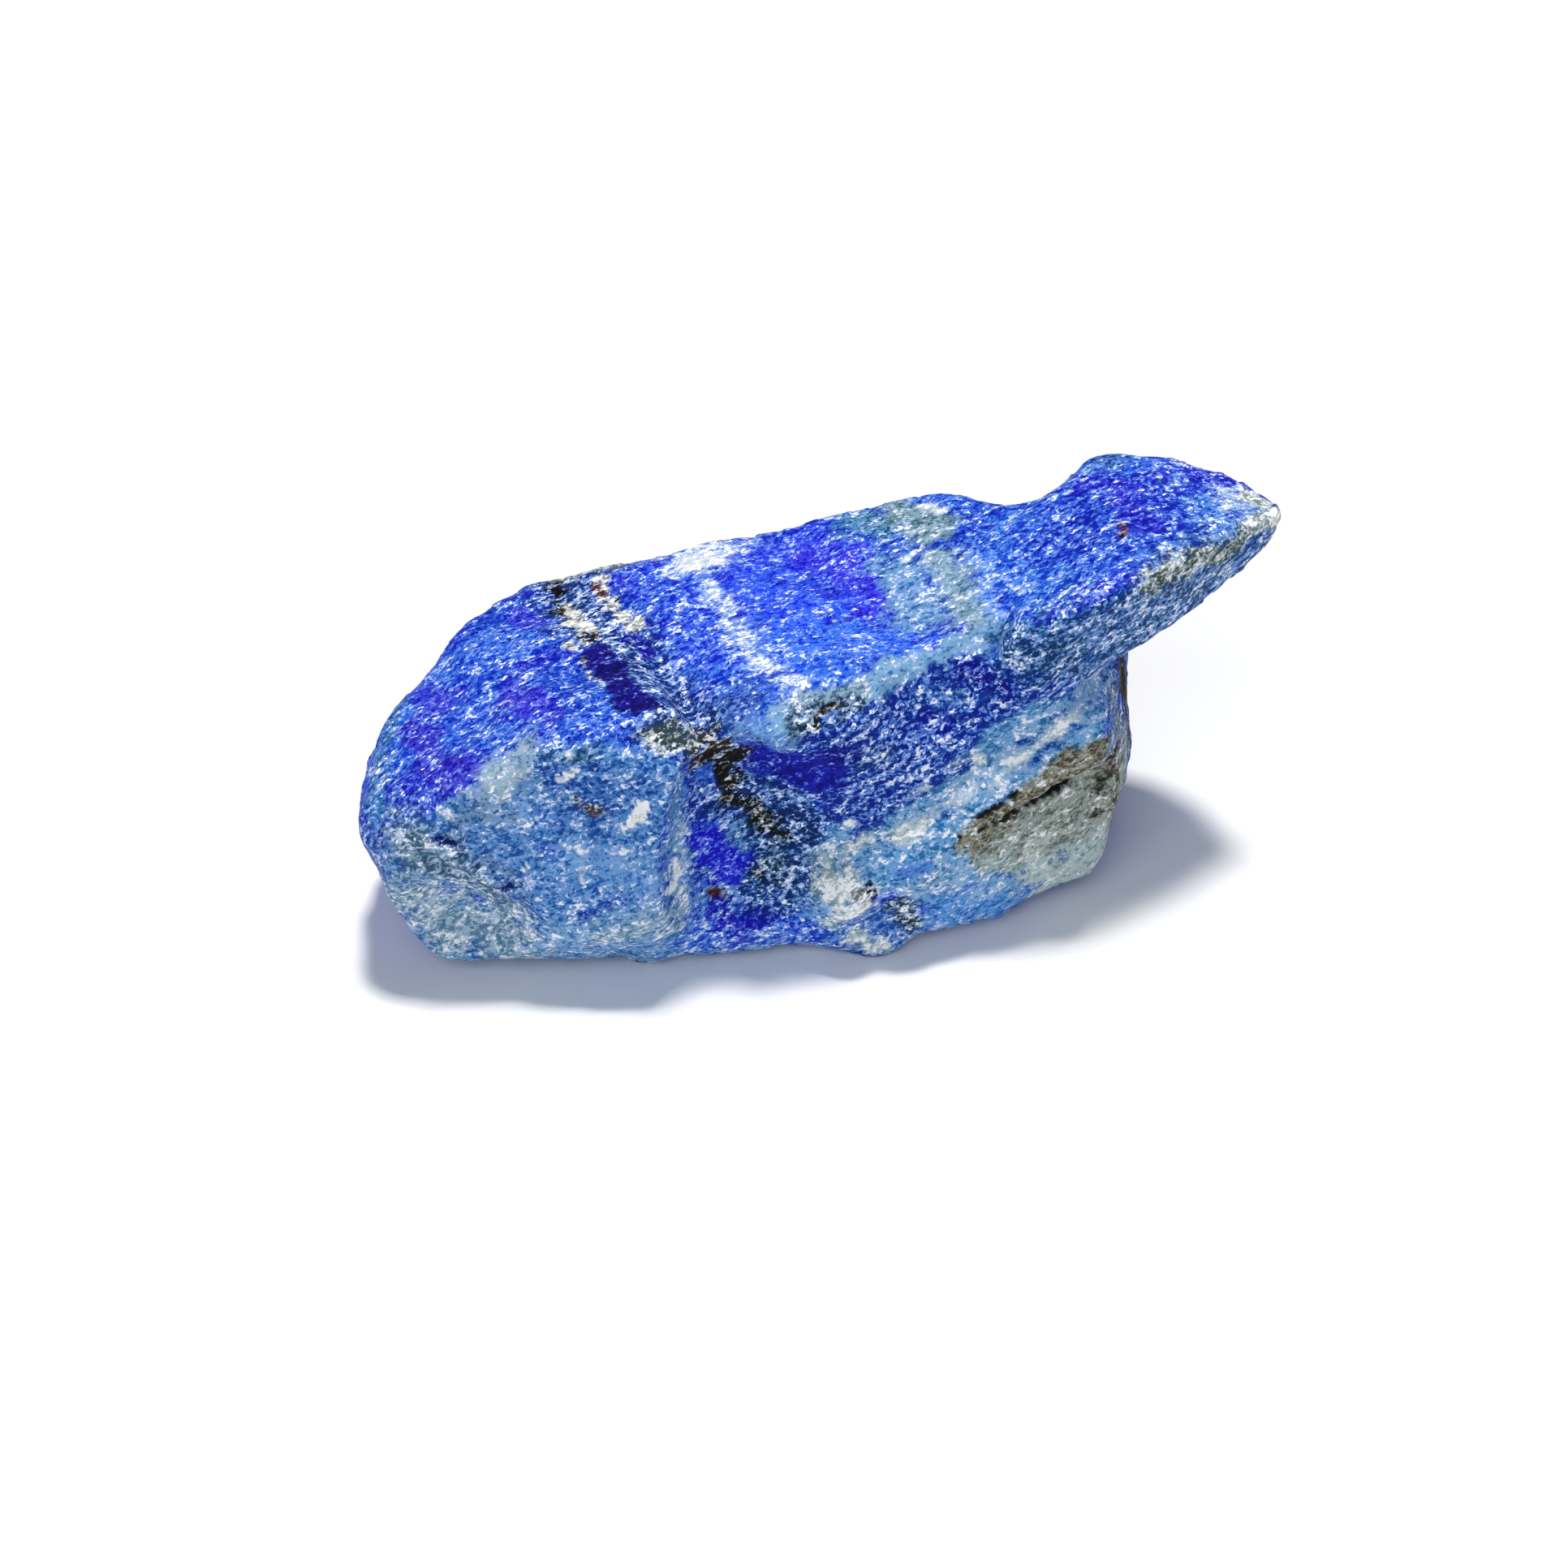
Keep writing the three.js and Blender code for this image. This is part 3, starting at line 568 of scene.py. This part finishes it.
    # This deep violet band right under the overhanging top edge is violet lazurite with painted shade of that
    # edge in it
    ["#0c18b0", 0.37, 0.54, 1.25, 0.45, [[-3.2, -8.8, 13.2], [-1.6, -8.9, 12.8], [0.2, -9, 12]]],
    ["#0a5c98", 0.56, 0.64, 1.1, 0.7, [[-4.4, -8.8, 10.4], [-2.8, -8.4, 8.8], [-1.4, -8.6, 8.4]]],
    ["#343c38", 0.6, 0.78, 0.6, 0.9, [[-4.6, -8.9, 11.6], [-3.6, -8.6, 10], [-2.3, -8.5, 7.8]]],
    ["#3c4438", 0.62, 0.72, 0.4, 0.9, [[-2, -8.8, 6.4], [-3, -9, 5.4]]],
    ["#3c6c88", 0.64, 0.6, 0.7, 0.9, [[-2.6, -8.7, 6.9], [-2, -9.1, 5.6]]],
    ["#2020d8", 0.49, 0.52, 1.05, 0.5, [[-5.9, -9.7, 8.8], [-5, -9.4, 7.3], [-4.6, -9.3, 6.2]]],
    ["#744850", 0.52, 0.56, 0.32, 0.5, [[-5.6, -9.7, 5.1], [-5, -9.5, 4.7]]],
    ["#74848c", 0.65, 0.6, 0.6, 0.9, [[-7.8, -9.9, 15.6], [-6.3, -9.8, 15.3], [-4.8, -9.3, 14.6]]],
    ["#5c94cc", 0.6, 0.43, 0.85, 0.9,
     [[-7.2, -11.1, 13.7], [-7.2, -10.9, 10.8], [-7.2, -10.6, 8.1], [-7, -11, 4.1]]],
    ["#5c4c3c", 0.66, 0.7, 0.9, 0.8, [[-5.4, -9.4, 14.2], [-4.3, -9, 13.4]]],
    ["#0c0806", 0.42, 1.0, 0.6, 0.4, [[-5, -9.2, 13.3], [-4.3, -9, 13]]],
    ["#0c0806", 0.42, 1.0, 0.55, 0.4, [[-4.9, -8.9, 12.3], [-4.3, -9, 13.6]]],
    ["#6c5040", 0.5, 0.62, 0.3, 0.5, [[-4.8, -9.2, 14.2], [-4.4, -9.1, 13.7]]],
    ["#8cb4d8", 0.72, 0.36, 0.35, 0.9, [[-7.1, -10.5, 10.1], [-6.9, -10.4, 7.4], [-7.1, -11.1, 4.7]]],
    # Near side of the left end
    ["#94b0c4", 0.53, 0.32, 1.2, 0.9, [[-16, -11.1, 12], [-15.2, -10.7, 13.2], [-14.2, -10.4, 14]]],
    ["#7098c0", 0.56, 0.4, 0.8, 0.8, [[-17.4, -11.1, 11.2], [-15.8, -11.1, 12]]],
    ["#6494c4", 0.6, 0.48, 1.8, 0.8, [[-18.6, -10.9, 7.4], [-16.8, -10.7, 5.8], [-15, -11.4, 4.4]]],
    ["#7898b0", 0.62, 0.54, 1.4, 0.8, [[-20.1, -10.9, 9.6], [-17.8, -11.4, 8.2], [-15.9, -10.9, 5.6]]],
    ["#94b4c8", 0.66, 0.5, 1.8, 0.8, [[-20, -10.9, 5.8], [-18.3, -10.1, 3.3], [-15.4, -10.8, 3]]],
    ["#3c78c0", 0.56, 0.48, 0.8, 0.9, [[-13.2, -10.7, 13.8], [-10.2, -11.1, 12.9], [-8.6, -11.1, 13.7]]],
    ["#4880c4", 0.55, 0.46, 0.6, 0.9, [[-13.4, -11.2, 11.2], [-11.4, -11.1, 11.1]]],
    ["#6ca0d8", 0.6, 0.34, 0.9, 0.9, [[-11.5, -11.6, 9], [-8.3, -12, 8.2]]],
    ["#7cacd4", 0.63, 0.4, 0.9, 0.9, [[-12.4, -12.1, 4.5], [-8.4, -12.2, 5.3]]],
    ["#24408c", 0.5, 0.6, 0.3, 0.5, [[-18.9, -11.1, 10.1], [-16.8, -11.3, 8.9], [-15.1, -11.5, 7]]],
    ["#5c88b8", 0.6, 0.42, 0.3, 0.5, [[-17.9, -11.1, 10.6], [-16.2, -11.3, 8.7], [-14.1, -11.9, 6.8]]],
    ["#2448b4", 0.52, 0.56, 0.5, 0.7, [[-11.6, -12.2, 6], [-10.2, -12.1, 6.7]]],
    ["#86a8c0", 0.66, 0.4, 1, 0.8, [[-10.6, -12, 4.4], [-7.2, -11, 4.8]]],
    ["#847470", 0.6, 0.6, 0.4, 0.6, [[-11.3, -11, 12.4], [-10.8, -11, 11.9]]],
    ["#f4f6f4", 1.3, 0, 0.32, 0.15, [[-8.6, -11.4, 12.2], [-8.8, -11.4, 11.6]]],
    ["#f0f3f2", 1.3, 0, 0.16, 0.2, [[-8.8, -11.4, 11.6], [-9.5, -11.4, 10.8]]],
    ["#e0e8ee", 1.15, 0, 0.14, 0.3, [[-14.8, -11.6, 8.2], [-14.4, -11.5, 8.7], [-14, -11.5, 9]]],
    ["#e0e8ee", 1.15, 0, 0.16, 0.3, [[-12.4, -10.9, 13.5], [-12, -11, 13.8], [-11.6, -11, 14.3]]],
    ["#dce6f0", 1.05, 0, 0.12, 0.4, [[-13.6, -11.2, 11.2], [-13.3, -11.2, 11.8], [-12.7, -11.1, 12]]],
    ["#dce6f0", 1.0, 0, 0.11, 0.5, [[-11.8, -11.5, 9.5], [-11.5, -11.6, 8.8], [-11.9, -11.7, 8]]],
    ["#e8eef0", 1.2, 0, 0.18, 0.25,
     [[-7.9, -11.8, 7], [-7.2, -11, 6.5], [-7, -10.6, 7], [-7.3, -10.7, 7.9]]],
    ["#dce6ee", 1.05, 0.1, 0.22, 0.5, [[-13.4, -9.6, 15], [-11.9, -10.6, 15.1]]],
]
# The rock's bedding, in degrees from +X and up. Clouds and the patches' edges are drawn out along it.
BEDDING_TURN = 16.3
BEDDING_RISE = 21.8
ALONG_BEDDING = 1.8
# How the patches' edges wander: size, distance and the pattern's number.
EDGE_WANDER = [[1.1, 0.9, 31], [0.4, 0.5, 41]]
FULLY_WANDERS = 0.5  # an edge that is less soft than this wanders less
# Grains that stray across a soft edge: their size and pattern's number, then how far they stray and how wide
# the edge is, as shares of the reach where the edge is fully soft.
FRAY = [0.32, 51]
FRAY_REACH = 1.6
EDGE_REACH = 0.7


def bedded_noise(p, size, seed):
    """Lattice noise drawn out along the bedding: p's share along it is divided before the noise is taken."""
    turn, rise = np.radians([BEDDING_TURN, BEDDING_RISE])
    bedding = np.array([np.cos(rise) * np.cos(turn), np.cos(rise) * np.sin(turn), np.sin(rise)])
    along = (p @ bedding)[:, None] * bedding
    return lattice_noise(p - along * (1 - 1 / ALONG_BEDDING), size, seed)


def wandering(p):
    """p moved by three smooth noises, one for each axis, of each size in EDGE_WANDER."""
    moved = p.copy()
    for size, reach, seed in EDGE_WANDER:
        shift = np.stack([bedded_noise(p, size, seed + axis) for axis in range(3)], axis=-1)
        moved += reach * (shift - 0.5)
    return moved


rock = np.tile(np.concatenate([linear(LAZURITE[0]), LAZURITE[1:]]), (len(skin), 1))
wandered = wandering(skin)
fray = bedded_noise(skin, *FRAY) - 0.5


def lay(cover, colour, calcite, dark):
    """Blends a colour and its shares of white and dark grains into the rock, as far as cover says."""
    new = np.concatenate([linear(colour), [calcite, dark]])
    rock[:] = rock + (new - rock) * cover[:, None]


for colour, size, level, seed in BLUE_CLOUDS:
    coarse = bedded_noise(skin, size, seed)
    finer = bedded_noise(skin, size / CLOUD_FINER, seed + CLOUD_FINER_SEED)
    cloud = CLOUD_COARSE * coarse + (1 - CLOUD_COARSE) * finer + CLOUD_FRAY * fray
    lay(smoothstep(cloud, level - CLOUD_EDGE, level + CLOUD_EDGE), colour, *LAZURITE[1:])
for colour, calcite, dark, shape, row in FACES_OF_ROCK:
    alike = np.abs(np.sum(uphill(shape, skin, row) * outward, axis=-1))
    near = 1 - smoothstep(np.abs(shape(wandered, row)), *FACE_NEAR)
    lay(near * smoothstep(alike, *FACE_ALIKE), colour, calcite, dark)
for colour, calcite, dark, reach, soft, path in PATCHES:
    moved = skin + (wandered - skin) * min(1, soft / FULLY_WANDERS)
    distance = path_distance(moved, path) / reach + FRAY_REACH * soft * fray
    edge = EDGE_REACH * soft
    lay(1 - smoothstep(distance, 1 - edge, 1 + edge), colour, calcite, dark)

rock_colour = stone_mesh.attributes.new("rock_colour", "FLOAT_COLOR", "POINT")
rock_colour.data.foreach_set("color", np.column_stack([rock[:, :3], np.ones(len(rock))]).ravel())
grain_shares = stone_mesh.attributes.new("grain_shares", "FLOAT_COLOR", "POINT")
grain_shares.data.foreach_set("color", np.column_stack([rock[:, 3:], np.ones((len(rock), 2))]).ravel())


# Broken lapis: a dull, grainy break in which each grain of lazurite, calcite and pyrite shows its own
# brightness, and the fine grains differ a little in gloss; the glints of clean grain faces are painted in
# with the white calcite grains, as painted highlights. The grains are drawn out along the bedding, and the
# fine ones are drawn coarser than in the rock, so that they show. Sizes are in millimetres.
GRAIN = 0.21
FINE_GRAIN = 0.115
DRAWN_OUT = 1.35
CLUMP = 0.8  # grains of one kind lie in clumps of about this size
STREAK_WIDTH = 0.45  # they also line up in streaks of about this width
STREAK = 4  # times as long as they are wide
STREAK_LEAN = 0.6  # how much the streaks count beside the clumps
UNEVEN = 1.2  # how far the grains' edges are moved about, in grains
CALCITE_AND_GLINT = "#f6f8fa"
PALE_LAZURITE = "#7ea6ee"
PALE_MATRIX = "#bcc8cc"

lapis = bpy.data.materials.new("broken_lapis")
lapis.use_nodes = True
lapis.node_tree.nodes.clear()


def add(kind, sockets=(), **settings):
    """Adds a node to the lapis: each socket takes a value, a hex colour, or a node or output to link."""
    made = lapis.node_tree.nodes.new(kind)
    for name, setting in settings.items():
        setattr(made, name, setting)
    for socket, source in dict(sockets).items():
        if isinstance(source, bpy.types.Node):
            source = source.outputs[0]
        if isinstance(source, bpy.types.NodeSocket):
            lapis.node_tree.links.new(source, made.inputs[socket])
        elif isinstance(source, str):
            made.inputs[socket].default_value = (*linear(source), 1)
        else:
            made.inputs[socket].default_value = source
    return made


place = add("ShaderNodeTexCoord")
bedded = add(
    "ShaderNodeMapping",
    {
        "Vector": place.outputs["Object"],
        "Rotation": (0, -np.radians(BEDDING_RISE), np.radians(BEDDING_TURN)),
        "Scale": (DRAWN_OUT * MM, MM, MM),
    },
    vector_type="TEXTURE",
)
wobble = add("ShaderNodeTexNoise", {"Vector": bedded, "Scale": 1 / GRAIN, "Detail": 2, "Roughness": 0.5})
centred = add("ShaderNodeVectorMath", {0: wobble.outputs["Color"], 1: (0.5, 0.5, 0.5)}, operation="SUBTRACT")
shift = add("ShaderNodeVectorMath", {0: centred, "Scale": UNEVEN * GRAIN}, operation="SCALE")
uneven = add("ShaderNodeVectorMath", {0: bedded, 1: shift}, operation="ADD")
grains = add("ShaderNodeTexVoronoi", {"Vector": uneven, "Scale": 1 / GRAIN})
fines = add("ShaderNodeTexVoronoi", {"Vector": uneven, "Scale": 1 / FINE_GRAIN})
clumps = add("ShaderNodeTexNoise", {"Vector": uneven, "Scale": 1 / CLUMP, "Detail": 3, "Roughness": 0.65})
lengthwise = add("ShaderNodeVectorMath", {0: uneven, 1: (1 / STREAK, 1, 1)}, operation="MULTIPLY")
streaks = add(
    "ShaderNodeTexNoise",
    {"Vector": lengthwise, "Scale": 1 / STREAK_WIDTH, "Detail": 2, "Roughness": 0.5},
)
grain = add("ShaderNodeSeparateColor", {"Color": grains.outputs["Color"]})
fine = add("ShaderNodeSeparateColor", {"Color": fines.outputs["Color"]})

# Each place has a tone of about 0 to 1: half its coarse grain's random number and half its fine grain's, plus
# how far the clumps and the streaks there are over their middles.
MIDDLES = 0.5 + 0.5 * STREAK_LEAN
lean = add("ShaderNodeMath", {0: streaks, 1: STREAK_LEAN, 2: -MIDDLES}, operation="MULTIPLY_ADD")
clumped = add("ShaderNodeMath", {0: clumps, 1: lean}, operation="ADD")
leaning = add("ShaderNodeMath", {0: fine.outputs["Red"], 1: 0.5, 2: clumped}, operation="MULTIPLY_ADD")
tone = add("ShaderNodeMath", {0: grain.outputs["Red"], 1: 0.5, 2: leaning}, operation="MULTIPLY_ADD")

# Where the tone is under the dark share, the rock's colour deepens to that colour times itself. Where it is
# over this level less the white share, it turns pale, and further over it white.
WHITE_LEVEL = 1.1
DEEPENS = 4.5
PALES = 3.5
WHITENS = 5
WHITE_AFTER = 1.2
ground = add("ShaderNodeAttribute", attribute_name="rock_colour")
shares = add("ShaderNodeAttribute", attribute_name="grain_shares")
white_and_dark = add("ShaderNodeSeparateColor", {"Color": shares.outputs["Color"]})
over = add("ShaderNodeMath", {0: tone, 1: WHITE_LEVEL}, operation="SUBTRACT")
light = add("ShaderNodeMath", {0: over, 1: white_and_dark.outputs["Red"]}, operation="ADD")
under = add("ShaderNodeMath", {0: white_and_dark.outputs["Green"], 1: tone}, operation="SUBTRACT")

deep = add("ShaderNodeVectorMath", {0: ground, 1: ground}, operation="MULTIPLY")
deepening = add("ShaderNodeMath", {0: under, 1: DEEPENS}, operation="MULTIPLY", use_clamp=True)
darkened = add("ShaderNodeMix", {0: deepening, 6: ground, 7: deep}, data_type="RGBA")

# Pale grains are bluish where the rock's colour is strong, and grey where it is dull: so many times the
# colour's saturation, less this.
BLUE_TIMES = 1.6
BLUE_LESS = 0.5
strength = add("ShaderNodeSeparateColor", {"Color": ground}, mode="HSV")
blueness = add(
    "ShaderNodeMath",
    {0: strength.outputs["Green"], 1: BLUE_TIMES, 2: -BLUE_LESS},
    operation="MULTIPLY_ADD",
    use_clamp=True,
)
pale = add("ShaderNodeMix", {0: blueness, 6: PALE_MATRIX, 7: PALE_LAZURITE}, data_type="RGBA")
paling = add("ShaderNodeMath", {0: light, 1: PALES}, operation="MULTIPLY", use_clamp=True)
paled = add("ShaderNodeMix", {0: paling, 6: darkened.outputs[2], 7: pale.outputs[2]}, data_type="RGBA")
# The white grains are calcite, and they also stand in for the glints of clean grain faces: painted highlights
whitening = add(
    "ShaderNodeMath",
    {0: light, 1: WHITENS, 2: -WHITE_AFTER},
    operation="MULTIPLY_ADD",
    use_clamp=True,
)
whitened = add("ShaderNodeMix", {0: whitening, 6: paled.outputs[2], 7: CALCITE_AND_GLINT}, data_type="RGBA")

# Fine grains differ in gloss, and both kinds stand a little in or out of the break.
ROUGH = 0.75
SMOOTHER = 0.25  # how much less rough the smoothest grains are
COARSE_HEIGHT = 0.6  # share of the bumps that the coarse grains make
BUMP_HEIGHT = 0.07
roughness = add("ShaderNodeMath", {0: fine.outputs["Red"], 1: -SMOOTHER, 2: ROUGH}, operation="MULTIPLY_ADD")
coarse_height = add("ShaderNodeMath", {0: grain.outputs["Blue"], 1: COARSE_HEIGHT}, operation="MULTIPLY")
height = add(
    "ShaderNodeMath",
    {0: fine.outputs["Blue"], 1: 1 - COARSE_HEIGHT, 2: coarse_height},
    operation="MULTIPLY_ADD",
)
bump = add("ShaderNodeBump", {"Height": height, "Strength": 0.8, "Distance": BUMP_HEIGHT * MM})
lapis_shader = add(
    "ShaderNodeBsdfPrincipled",
    {
        "Base Color": whitened.outputs[2],
        "Roughness": roughness,
        "Normal": bump,
        "IOR": 1.5,
        "Metallic": 0,
        "Specular IOR Level": 0.12,
    },
)
add("ShaderNodeOutputMaterial", {"Surface": lapis_shader})
stone_mesh.materials.append(lapis)

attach(stone, "root")
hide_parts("stone")

# The floor
# A plain pale sheet of matt paper that the stone lies on. It is the stage and no part of the object, and it
# reaches far past the view on every side.
FLOOR_HALF = 1.5
floor_mesh = bpy.data.meshes.new("floor")
floor_corners = [(x * FLOOR_HALF, y * FLOOR_HALF, 0) for x, y in ((-1, -1), (1, -1), (1, 1), (-1, 1))]
floor_mesh.from_pydata(floor_corners, [], [(0, 1, 2, 3)])
floor = bpy.data.objects.new("floor", floor_mesh)
bpy.context.collection.objects.link(floor)
paper = bpy.data.materials.new("white_paper")
paper.use_nodes = True
paper_shader = paper.node_tree.nodes["Principled BSDF"]
paper_shader.inputs["Base Color"].default_value = (*linear("#eceef0"), 1)
paper_shader.inputs["Roughness"].default_value = 0.9
floor_mesh.materials.append(paper)

# Light and camera
# One soft lamp almost straight above, a wide weak one in front, and an even pale sky. The camera looks down
# at the stone from its near side.


def lamp(name, towards, distance, size, power, colour):
    """A square area lamp that shines at the stone from a direction, which it faces."""
    data = bpy.data.lights.new(name, "AREA")
    data.size = size
    data.energy = power
    data.color = linear(colour)
    made = bpy.data.objects.new(name, data)
    way = Vector(towards).normalized()
    made.location = way * distance
    made.rotation_euler = way.to_track_quat("Z", "Y").to_euler()
    bpy.context.collection.objects.link(made)


lamp("overhead_lamp", towards=(0.04, 0.1, 1), distance=1, size=0.12, power=9, colour="#fffaf2")
lamp("front_lamp", towards=(-0.3, -1, 1), distance=1.2, size=0.8, power=4.8, colour="#f2f6ff")

SKY_STRENGTH = 0.26
world = bpy.data.worlds.new("pale_sky")
bpy.context.scene.world = world
world.use_nodes = True
sky = world.node_tree.nodes["Background"]
sky.inputs["Color"].default_value = (*linear("#dfe8f4"), 1)
sky.inputs["Strength"].default_value = SKY_STRENGTH

CAMERA_DISTANCE = 0.16
CAMERA_RISE = 40  # degrees
FIELD_OF_VIEW = 30
LOOKS_AT = Vector((-1.8 * MM, 4.8 * MM, 0)) - Vector(MIDDLE * MM)
camera_data = bpy.data.cameras.new("camera")
camera_data.sensor_width = 36
camera_data.angle = np.radians(FIELD_OF_VIEW)
camera_data.clip_start = 0.005
camera = bpy.data.objects.new("camera", camera_data)
rise = np.radians(CAMERA_RISE)
camera.location = LOOKS_AT + Vector((0, -np.cos(rise), np.sin(rise))) * CAMERA_DISTANCE
camera.rotation_euler = (np.pi / 2 - rise, 0, 0)
bpy.context.collection.objects.link(camera)
bpy.context.scene.camera = camera
bpy.context.scene.view_settings.view_transform = "Standard"
